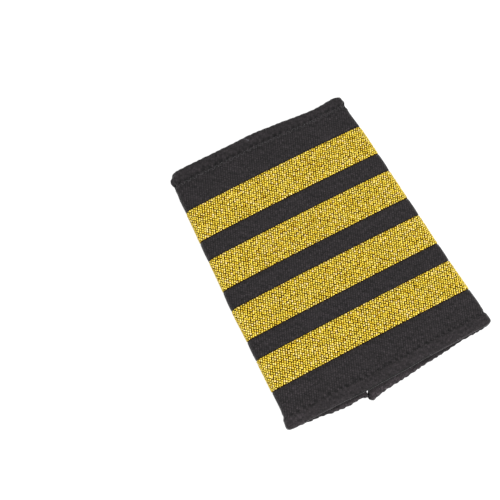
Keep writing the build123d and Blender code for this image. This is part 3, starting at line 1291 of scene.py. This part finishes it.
        # The front's shoulder hem and the lips past it are drawn a little lighter, more so towards the side
        # folds
        painted_light_and_tone = painted_light_and_tone + curve_through(reach, loop.hem_lightening) * curve_through(u, loop.hem_lightening_round)
        for name, values in (("pit_shade", pit_shade), ("calm", calm), ("painted_light_and_tone", painted_light_and_tone)):
            add_values(piece, name, values[:, :-1])
        self.add_facing(piece)
        return piece


@dataclass(frozen=True)
class Carrier(ClothSheet):
    """The smooth face of the single cloth, without hems or recesses: it isn't shown, and
    the gold floats are laid on it."""

    row_step: float = 1.0
    end_margin: float = 10.0  # mm from each fold, past all bars

    def make(self) -> Piece:
        """Make the sheet that carries the floats.

        Returns:
            The object, with its map.
        """
        loop = self.loop
        margin = self.end_margin
        rows = np.arange(loop.collar_end - margin, loop.shoulder_end + margin, -self.row_step)
        points, u = self.grid(rows, np.full(len(rows), loop.hem_rise))
        faces = grid_faces(*u.shape, closed_rows=False, closed_columns=False)
        piece = make_object("carrier", points.reshape(-1, 3), faces)
        self.add_map(piece, u.ravel()[faces], points[..., 1].ravel()[faces])
        self.add_facing(piece)
        return piece


@dataclass(frozen=True)
class LurexFloat:
    """One float of the gold yarn: a slip of film that arches out of the ground."""

    length: float = 0.73
    width: float = 0.63
    arch: float = 0.2  # from the ground to its crest
    sink: float = 0.12  # how far its rim goes into the ground
    rings: int = 7
    lines: int = 4
    taper: float = 0.6  # how strongly it narrows at its ends
    slow_fall: float = 0.3  # share of the arch lost gently, from its middle to its ends
    end_fall: float = 0.7  # and close to them
    side_fall: float = 0.75  # and close to its sides

    def make(self) -> Piece:
        """Make the float, along y, with its rim below z = 0.

        Returns:
            The object, with the crest as a value of each point.
        """
        s, t = np.meshgrid(np.linspace(-1, 1, self.rings), np.linspace(-1, 1, self.lines), indexing="ij")
        x = t * np.sqrt(1 - self.taper * s**6) * self.width / 2
        y = s * self.length / 2
        crest = 1 - self.slow_fall * s**2 - self.end_fall * s**8
        crest = crest * (1 - self.side_fall * t**4)
        z = (self.arch + self.sink) * crest - self.sink
        points = np.stack([x, y, z], axis=-1).reshape(-1, 3)
        faces = grid_faces(self.rings, self.lines, closed_rows=False, closed_columns=False)
        piece = make_object("lurex_float", points, faces[:, ::-1])
        # The crest is kept for the gold's material, which paints a highlight on it
        add_values(piece, "crest", crest)
        return piece


@dataclass(frozen=True)
class GoldBar(ClothSheet):
    """A woven bar: its dark ground, and the gold floats on it."""

    gold: GoldLayout
    index: int
    seed: int = 40
    roll: float = math.radians(11)
    pitch: float = math.radians(10)
    yaw: float = math.radians(7)
    drift: float = math.radians(7)  # how strongly neighbours lean alike
    drift_size: float = 1.8  # mm
    rim: float = 0.22  # mm of bare ground along each edge
    edge_height: float = 0.4  # share of its height that a float has at the rim
    edge_slope: float = 2.5  # rims from the edge, where it has all of it
    overhang: float = 0.16  # mm past the edge where floats still start, to be trimmed
    stray: Triple = (0.05, 0.09, 0.0)  # mm that a float may lie off its place
    smallest: Triple = (0.88, 0.9, 0.8)  # shares of a float's sizes
    largest: Triple = (1.1, 1.08, 1.25)
    slow_tint: float = 0.2
    even_tint: float = 0.3
    own_tint: float = 0.45
    tint_start: float = -0.25
    float_tint_step: float = 0.5698  # one over the plastic number, squared
    wale_tint_step: float = 0.7549  # one over the plastic number
    spare_floats: int = 3  # in each wale, which starts a little before the bar
    ground_rows: tuple[float, ...] = (0.02, 0.2, 1.0, 2.5, 4.0, 5.5, 7.0, 8.5, 10.0, 10.8, 10.98)
    ground_rim: float = 0.02  # mm over its underside that the ground's edges stand

    def ground(self) -> Piece:
        """Make the ground: a closed band that ends on both sides of the seam.

        Returns:
            The object, with its map.
        """
        first, _ = self.gold.edges(self.loop, self.index)
        rows = first - np.array(self.ground_rows)
        top = np.full(len(rows), self.gold.ground_top)
        bottom = np.full(len(rows), self.gold.ground_bottom)
        top[[0, -1]] = self.gold.ground_bottom - self.ground_rim
        all_rows = np.concatenate([rows, rows[::-1]])
        points, u = self.grid(all_rows, np.concatenate([top, bottom]))
        rows_count, columns_count = u.shape
        faces = grid_faces(rows_count, columns_count, closed_rows=True, closed_columns=False)
        ends = []
        half = rows_count // 2
        for r in range(half - 1):
            a, b = r, r + 1
            c, d = rows_count - 2 - r, rows_count - 1 - r
            ends.append([k * columns_count for k in (a, d, c, b)])
            ends.append([k * columns_count + columns_count - 1 for k in (a, b, c, d)])
        faces = np.concatenate([faces, np.array(ends)])
        piece = make_object(f"gold_bar_{self.index + 1}_weave", points.reshape(-1, 3), faces)
        self.add_map(piece, u.ravel()[faces], points[..., 1].ravel()[faces])
        return piece

    def make(
        self, carrier: Piece, template: Piece, ground_finish: Material, gold_finish: Material
    ) -> Piece:
        """Make the bar.

        Args:
            carrier: The sheet that the floats are laid on.
            template: One float.
            ground_finish: The ground's material.
            gold_finish: The floats' material.

        Returns:
            The bar as one mesh.
        """
        first, second = self.gold.edges(self.loop, self.index)
        pitch_y = WeaveMaths.float_pitch * math.cos(WeaveMaths.lean)
        spacing = WeaveMaths.wale_spacing / math.cos(WeaveMaths.lean)
        run = first - second
        per_wale = int(run / pitch_y) + self.spare_floats
        reach = self.loop.reach(Side.RIGHT, np.array([second]))[0] + run
        wales = int(2 * reach / spacing)
        inputs = {
            "Carrier": carrier,
            "Float": template,
            "Floats Per Wale": per_wale,
            "Wales": wales,
            "Wale Spacing": spacing * MM,
            "Float Pitch": pitch_y * MM,
            "First Edge": first * MM,
            "Run": run * MM,
            "Lift": (self.loop.hem_rise - self.gold.ground_top) * MM,
            "Seed": self.seed + self.index,
        }
        tool = NodeTool(f"lurex_floats_{self.index + 1}", inputs)
        self._grow(tool, ground_finish, gold_finish)
        piece = self.ground()
        tool.bake(piece)
        return piece

    def _grow(self, tool: NodeTool, ground_finish: Material, gold_finish: Material) -> None:
        """Add the nodes that set out the floats, tilt them and lay them on the cloth.

        Args:
            tool: The tree to fill.
            ground_finish: The ground's material.
            gold_finish: The floats' material.
        """
        tree, given = tool.tree, tool.given
        add = partial(add_node, tree)
        seed, lift, rim = given["Seed"], given["Lift"], self.rim * MM
        carrier = add("GeometryNodeObjectInfo", {"Object": given["Carrier"]}).outputs["Geometry"]
        template = add("GeometryNodeObjectInfo", {"Object": given["Float"]}).outputs["Geometry"]
        place = add("GeometryNodeInputPosition")
        parts = add(SEPARATE, (place,))
        slow_links = {"Vector": place, "Scale": 1 / (self.drift_size * MM), "Detail": 2.0}
        slow = add(NOISE, slow_links)
        # What each row of sums may name: the tree's inputs, these, and the rows above it
        known = {name: given[name] for name in tool.inputs}
        known["index"] = add("GeometryNodeInputIndex")
        known["slow"] = slow
        known["random"] = add(RANDOM, {"Seed": seed}, data_type="FLOAT").outputs[1]
        known["place y"], known["place z"] = parts.outputs[1], parts.outputs[2]
        sums = (
            ("count", "MULTIPLY", "Floats Per Wale", "Wales"),
            ("wales passed", "DIVIDE", "index", "Floats Per Wale"),
            ("wale", "FLOOR", "wales passed"),
            ("floats passed", "MULTIPLY", "wale", "Floats Per Wale"),
            ("step", "SUBTRACT", "index", "floats passed"),
            ("wale shift", "MULTIPLY", "wale", -WeaveMaths.level_stagger),
            ("stagger", "FRACT", "wale shift"),
            ("shifted step", "ADD", "step", "stagger"),
            ("steps", "SUBTRACT", "shifted step", 1.0),
            ("along", "MULTIPLY", "steps", "Float Pitch"),
            ("half wales", "DIVIDE", "Wales", 2.0),
            ("centred", "SUBTRACT", "wale", "half wales"),
            ("lean", "MULTIPLY", "along", -math.tan(WeaveMaths.lean)),
            ("u", "MULTIPLY_ADD", "centred", "Wale Spacing", "lean"),
            ("y", "SUBTRACT", "First Edge", "along"),
            ("half run", "MULTIPLY", "Run", 0.5),
            ("off middle", "SUBTRACT", "along", "half run"),
            ("from middle", "ABSOLUTE", "off middle"),
            ("limit", "MULTIPLY_ADD", "Run", 0.5, self.overhang * MM),
            ("past edge", "GREATER_THAN", "from middle", "limit"),
            # Neighbours take evenly spread tints, which leaves no large blotches
            ("wale share", "MULTIPLY", "wale", self.wale_tint_step),
            ("spread", "MULTIPLY_ADD", "step", self.float_tint_step, "wale share"),
            ("even", "FRACT", "spread"),
            ("own", "MULTIPLY_ADD", "random", self.own_tint, self.tint_start),
            ("patterned", "MULTIPLY_ADD", "even", self.even_tint, "own"),
            ("tint", "MULTIPLY_ADD", "slow", self.slow_tint, "patterned"),
            # No float passes the rim, and near it the floats lie lower
            ("first limit", "SUBTRACT", "First Edge", rim),
            ("trimmed run", "SUBTRACT", "Run", rim),
            ("last limit", "SUBTRACT", "First Edge", "trimmed run"),
            ("raised y", "MAXIMUM", "place y", "last limit"),
            ("trimmed y", "MINIMUM", "raised y", "first limit"),
            ("middle y", "MULTIPLY_ADD", "Run", -0.5, "First Edge"),
            ("off centre", "SUBTRACT", "trimmed y", "middle y"),
            ("from centre", "ABSOLUTE", "off centre"),
            ("to edge", "SUBTRACT", "half run", "from centre"),
            ("above", "SUBTRACT", "place z", "Lift"),
        )
        for name, operation, *values in sums:
            links = tuple(known.get(value, value) for value in values)
            known[name] = add(MATHS, links, operation=operation)

        spot = add(COMBINE, (known["u"], known["y"], lift))
        least, most = (tuple(sign * s * MM for s in self.stray) for sign in (-1, 1))
        stray_links = {0: least, 1: most, "ID": known["index"], "Seed": seed}
        stray = add(RANDOM, stray_links, data_type="FLOAT_VECTOR")
        strayed = add(VECTOR_MATHS, (spot, stray), operation="ADD")
        points = add("GeometryNodePoints", {"Count": known["count"], "Position": strayed})
        found = find_on_cloth(tree, strayed, carrier, add("GeometryNodeInputPosition"))
        off_cloth = add(LOGIC, (found.outputs["Is Valid"],), operation="NOT")
        outside = add(LOGIC, (off_cloth, known["past edge"]), operation="OR")
        # The tint is stored first, because leaving points out numbers them anew
        tint_links = {"Geometry": points, "Name": "tint", "Value": known["tint"]}
        tinted = add("GeometryNodeStoreNamedAttribute", tint_links, data_type="FLOAT", domain="POINT")
        kept = add(DELETE, {"Geometry": tinted, "Selection": outside}, domain="POINT")

        limits = (self.pitch, self.roll, self.yaw)
        tilt_links = {0: tuple(-a for a in limits), 1: limits, "Seed": seed}
        tilt = add(RANDOM, tilt_links, data_type="FLOAT_VECTOR")
        leaning = add(VECTOR_MATHS, (tilt, (0.0, 0.0, -WeaveMaths.lean)), operation="ADD")
        drift = add(VECTOR_MATHS, (slow.outputs[1], (0.5, 0.5, 0.5)), operation="SUBTRACT")
        strength = (self.drift, self.drift, 0.0)
        drifting = add(VECTOR_MATHS, (drift, strength, leaning), operation="MULTIPLY_ADD")
        size_links = {0: self.smallest, 1: self.largest, "Seed": seed}
        sizes = add(RANDOM, size_links, data_type="FLOAT_VECTOR")
        instances = {"Points": kept, "Instance": template, "Rotation": drifting, "Scale": sizes}
        placed = add("GeometryNodeInstanceOnPoints", instances)
        real = add("GeometryNodeRealizeInstances", (placed,))

        lowest = self.edge_height
        rising = add(MAP_RANGE, (known["to edge"], rim, self.edge_slope * rim, lowest, 1.0))
        height = add(MATHS, (known["above"], rising, lift), operation="MULTIPLY_ADD")
        trimmed = add(COMBINE, (parts, known["trimmed y"], height))
        cut = add("GeometryNodeSetPosition", {"Geometry": real, "Position": trimmed})
        laid = on_cloth(tree, cut, carrier)
        gold = add(DRESS, {"Geometry": laid, "Material": gold_finish})
        ground = add(DRESS, {"Geometry": given["Geometry"], "Material": ground_finish})
        joined = add("GeometryNodeJoinGeometry")
        for part in (gold, ground):
            tree.links.new(part.outputs[0], joined.inputs[0])
        tree.links.new(joined.outputs[0], tool.result)


@dataclass(frozen=True)
class ThreadStitch:
    """One stitch of two twisted plies, 1 mm long, whose ends dive into the cloth."""

    ply: float = 0.1
    wind: float = 0.085
    rings: int = 11
    sides: int = 5
    turns: float = 1.5
    dive: float = 0.38
    taper: float = 0.6  # how strongly it narrows at its ends

    def make(self) -> Piece:
        """Make the stitch, along x, about z = 0.

        Returns:
            The object.
        """
        points, faces = [], []
        share = np.linspace(-1, 1, self.rings)
        for strand in (0, 1):
            phase = math.pi * (self.turns * (share + 1) + strand)
            taper = np.sqrt(1 - self.taper * share**6)
            centre_y = self.wind * np.cos(phase) * taper
            centre_z = self.wind * np.sin(phase) * taper - self.dive * share**4
            for ring in range(self.rings):
                for k in range(self.sides):
                    a = 2 * math.pi * k / self.sides
                    y = centre_y[ring] + self.ply * taper[ring] * math.cos(a)
                    z = centre_z[ring] + self.ply * taper[ring] * math.sin(a)
                    points.append((share[ring] / 2, y, z))
        per_strand = self.rings * self.sides
        wall = grid_faces(self.rings, self.sides, closed_rows=False, closed_columns=True)
        for strand in (0, 1):
            faces += (wall + strand * per_strand).tolist()
            first = [strand * per_strand + k for k in range(self.sides)]
            last = [k + per_strand - self.sides for k in first]
            faces += [first, last[::-1]]
        return make_object("thread_stitch", np.array(points), [face[::-1] for face in faces])


@dataclass(frozen=True)
class Stitching:
    """The threads of a stitch row, laid in the dents that the row makes in the cloth."""

    loop: ClothLoop
    row: StitchRow

    def make(self, cloth: Piece, template: Piece, finish: Material) -> Piece:
        """Make the threads as one mesh.

        Args:
            cloth: The dented cloth.
            template: One stitch.
            finish: The thread's material.

        Returns:
            The object.
        """
        rows = self.row.stitches(self.loop)
        points = np.stack([rows[:, 0], rows[:, 1], np.full(len(rows), self.row.thread_lift)], axis=1)
        piece = make_object(self.row.name, points, np.zeros((0, 4), int))
        for name, column in (("turn", 2), ("span", 3)):
            add_values(piece, name, rows[:, column])
        tool = NodeTool(f"{self.row.name}_tool", {"Cloth": cloth, "Stitch": template})
        tree, given = tool.tree, tool.given
        add = partial(add_node, tree)
        carrier = add("GeometryNodeObjectInfo", {"Object": given["Cloth"]}).outputs["Geometry"]
        stitch = add("GeometryNodeObjectInfo", {"Object": given["Stitch"]}).outputs["Geometry"]
        turn, span = (add(NAMED, {"Name": name}, data_type="FLOAT") for name in ("turn", "span"))
        rotation = add(COMBINE, {2: turn})
        size = add(COMBINE, (span, 1.0, 1.0))
        instances = {"Points": given["Geometry"], "Instance": stitch, "Rotation": rotation, "Scale": size}
        placed = add("GeometryNodeInstanceOnPoints", instances)
        real = add("GeometryNodeRealizeInstances", (placed,))
        laid = on_cloth(tree, real, carrier)
        dressed = add(DRESS, {"Geometry": laid, "Material": finish})
        tree.links.new(dressed.outputs[0], tool.result)
        tool.bake(piece)
        return piece


@dataclass(frozen=True)
class LooseThreads:
    """Ends of thread and lint that stick out: a small loop on the collar's roll, frayed
    ends in the notch behind, and flecks on the shoulder's rim. Points are in mm."""

    radius: float = 0.05
    paths: tuple = (
        (
            (-3.6, 44.2, 9.6), (-4.0, 44.9, 9.7), (-4.5, 45.5, 9.55), (-4.75, 45.8, 9.35),
            (-4.35, 45.75, 9.4), (-3.85, 45.1, 9.68), (-3.4, 44.4, 9.62),
        ),
        ((-10.2, -43.5, 1.3), (-9.6, -43.75, 1.3), (-9.0, -43.75, 1.2), (-8.4, -43.9, 1.0)),
        ((-9.9, -43.7, 0.9), (-9.3, -43.95, 1.0), (-8.8, -43.9, 1.3), (-8.2, -43.6, 1.4)),
        ((-9.3, -43.4, 1.5), (-9.0, -44.0, 1.4), (-8.6, -44.2, 1.0)),
        ((-7.0, -44.0, 1.9), (-6.6, -44.2, 2.1), (-6.7, -44.5, 2.0), (-7.1, -44.3, 2.1), (-6.9, -44.0, 2.2)),
        ((13.0, -41.8, 9.25), (13.4, -42.1, 9.15), (13.5, -42.5, 8.8)),
        ((22.9, -41.8, 8.95), (23.3, -42.1, 8.85), (23.2, -42.5, 8.5)),
    )

    def make(self, finish: Material) -> Piece:
        """Make the threads as one mesh.

        Args:
            finish: Their material.

        Returns:
            The object.
        """
        curve = bpy.data.curves.new("loose_threads", "CURVE")
        curve.dimensions = "3D"
        curve.bevel_depth = self.radius * MM
        curve.bevel_resolution = 1
        curve.use_fill_caps = True
        curve.resolution_u = 6
        for path in self.paths:
            spline = curve.splines.new("NURBS")
            spline.points.add(len(path) - 1)
            for point, place in zip(spline.points, path):
                point.co = (*(value * MM for value in place), 1.0)
            spline.order_u = 3
            spline.use_endpoint_u = True
        drawn = link_object("loose_threads_curve", curve)
        graph = bpy.context.evaluated_depsgraph_get()
        mesh = bpy.data.meshes.new_from_object(drawn.evaluated_get(graph))
        bpy.data.objects.remove(drawn)
        mesh.materials.clear()
        mesh.materials.append(finish)
        return link_object("loose_threads", mesh)


@dataclass(frozen=True)
class PhotoCamera:
    """The camera at the photograph's angle, close above the face and turned in its plane."""

    tilt: float = 15.612  # degrees, of the floor away from the picture's plane
    tilt_way: float = 83.43  # degrees, of that tilt in the picture
    turn: float = 27.988  # degrees, of the loop in the picture, anticlockwise
    aim_x: float = 7.687  # mm, of the first bar's edge from the picture's middle
    aim_y: float = 25.154
    aim_from_collar: float = 12.2  # mm, of that edge from the collar end's fold
    focal_pixels: float = 1300.0
    frame_pixels: float = 500.0
    pixels_per_mm: float = 3.14538
    sensor: float = 36.0
    clip: Span = (0.01, 20.0)  # metres

    def make(self, loop: ClothLoop) -> Piece:
        """Make the camera.

        Args:
            loop: The cloth, whose collar end the camera is placed from.

        Returns:
            The camera object.
        """
        tilt, way = math.radians(self.tilt), math.radians(self.tilt_way)
        normal = np.array(
            [math.sin(tilt) * math.cos(way), math.sin(tilt) * math.sin(way), math.cos(tilt)]
        )
        across = np.array([1.0, 0.0, 0.0]) - normal * normal[0]
        across = across / np.linalg.norm(across)
        floor_axes = np.stack([across, np.cross(normal, across), normal], axis=1)
        turn = math.radians(self.turn)
        part_axes = np.array(
            [[math.cos(turn), -math.sin(turn), 0], [math.sin(turn), math.cos(turn), 0], [0, 0, 1]]
        )
        distance = self.focal_pixels / self.pixels_per_mm
        seen = floor_axes.T @ np.array([0, 0, distance]) - np.array([self.aim_x, self.aim_y, 0])
        where = part_axes.T @ seen
        where[1] = where[1] + loop.collar_end - self.aim_from_collar
        axes = (floor_axes @ part_axes).T
        matrix = Matrix.Identity(4)
        for row in range(3):
            for column in range(3):
                matrix[row][column] = axes[row][column]
            matrix[row][3] = where[row] * MM
        data = bpy.data.cameras.new("photo_camera")
        data.sensor_width = self.sensor
        data.lens = self.sensor * self.focal_pixels / self.frame_pixels
        data.clip_start, data.clip_end = self.clip
        camera = link_object("photo_camera", data)
        camera.matrix_world = matrix
        bpy.context.scene.camera = camera
        return camera


@dataclass(frozen=True)
class Softbox:
    """A square studio light, by its place, side and strength."""

    name: str
    place: Triple  # metres
    side: float  # metres
    power: float  # watts
    colour: str = "#FFFFFF"

    def make(self) -> None:
        """Make the light, pointed at the epaulette."""
        data = bpy.data.lights.new(self.name, "AREA")
        data.shape = "SQUARE"
        data.size = self.side
        data.energy = self.power
        data.color = linear(self.colour)[:3]
        light = link_object(self.name, data)
        light.location = self.place
        light.rotation_mode = "QUATERNION"
        light.rotation_quaternion = (-Vector(self.place)).to_track_quat("-Z", "Y")


@dataclass(frozen=True)
class Studio:
    """A white floor and soft light from all round."""

    floor_side: float = 3.0  # metres
    floor_drop: float = 0.00002
    floor_lines: int = 5
    world_strength: float = 0.42
    lights: tuple = (
        Softbox("key_light", (0.6, 0.65, 1.15), 0.5, 6.0),
        Softbox("fill_light", (-0.1, -0.6, 1.3), 0.6, 24.0),
        Softbox("glint_light", (0.25, 0.3, 1.35), 0.25, 2.0),
    )

    def make(self) -> Piece:
        """Make the floor, the lights and the world.

        Returns:
            The floor.
        """
        steps = np.linspace(-self.floor_side / 2, self.floor_side / 2, self.floor_lines) / MM
        x, y = np.meshgrid(steps, steps, indexing="ij")
        points = np.stack([x, y, np.full_like(x, -self.floor_drop / MM)], axis=-1).reshape(-1, 3)
        faces = grid_faces(*x.shape, closed_rows=False, closed_columns=False)
        floor = make_object("floor", points, faces)
        floor.data.materials.append(WhiteAcrylic().make("opal_white_acrylic"))
        for light in self.lights:
            light.make()
        world = bpy.data.worlds.new("studio")
        world.use_nodes = True
        background = world.node_tree.nodes["Background"]
        background.inputs[0].default_value = linear("#FFFFFF")
        background.inputs[1].default_value = self.world_strength
        bpy.context.scene.world = world
        bpy.context.scene.view_settings.view_transform = "Standard"
        return floor


def main() -> None:
    """Build the pieces in order, dress them, and say what each rides on."""
    logging.basicConfig(level=logging.INFO, format="%(message)s")
    loop = ClothLoop()
    columns = Columns()
    gold = GoldLayout()
    hem_rows = [
        StitchRow(
            name="collar_hem_stitches", end=End.COLLAR, from_fold=3.95, follow=0.35, pitch=1.06,
            zigzag=1.35, groove=0.2, groove_radius=0.42, hole=0.85, hole_radius=0.6, faint_hole=0.5,
            pucker=0.45, jitter=1.0, thread_lift=-0.01, seed=11,
        ),
        StitchRow(
            name="shoulder_hem_stitches", end=End.SHOULDER, from_fold=4.1, follow=0.6, pitch=2.12,
            zigzag=0.1, groove=0.1, groove_radius=0.35, hole=0.75, hole_radius=0.43, faint_hole=0.95,
            pucker=0.05, jitter=0.8, thread_lift=-0.14, seed=12,
        ),
    ]
    floor = Studio().make()
    PhotoCamera().make(loop)

    cloth = Sleeve(loop, columns, hem_rows, gold).make()
    cloth.data.materials.append(BlackTwill().make("black_polyester_twill"))
    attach(cloth, BODY)
    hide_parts("sleeve")
    log.info("%s: %d faces", cloth.name, len(cloth.data.polygons))

    carrier = Carrier(loop, columns).make()
    template = LurexFloat().make()
    ground_finish = GroundWeave().make("dark_woven_ground")
    gold_finish = GoldLurex().make("gold_lurex_film")
    for index in range(gold.count):
        bar = GoldBar(loop, columns, gold, index).make(carrier, template, ground_finish, gold_finish)
        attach(bar, BODY)
        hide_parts(f"gold_bar_{index + 1}")
        log.info("%s: %d faces", bar.name, len(bar.data.polygons))

    thread = SewingThread("#322E31", "#1A181A").make("black_sewing_thread")
    stitch = ThreadStitch().make()
    for row in hem_rows:
        sewn = Stitching(loop, row).make(cloth, stitch, thread)
        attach(sewn, BODY)
        log.info("%s: %d faces", sewn.name, len(sewn.data.polygons))
    lint = LooseThreads().make(SewingThread("#5E5C62", "#3A383C").make("grey_loose_fibre"))
    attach(lint, BODY)
    log.info("%s: %d faces", lint.name, len(lint.data.polygons))
    for helper in (carrier, template, stitch):
        bpy.data.objects.remove(helper)


if __name__ == "__main__":
    main()
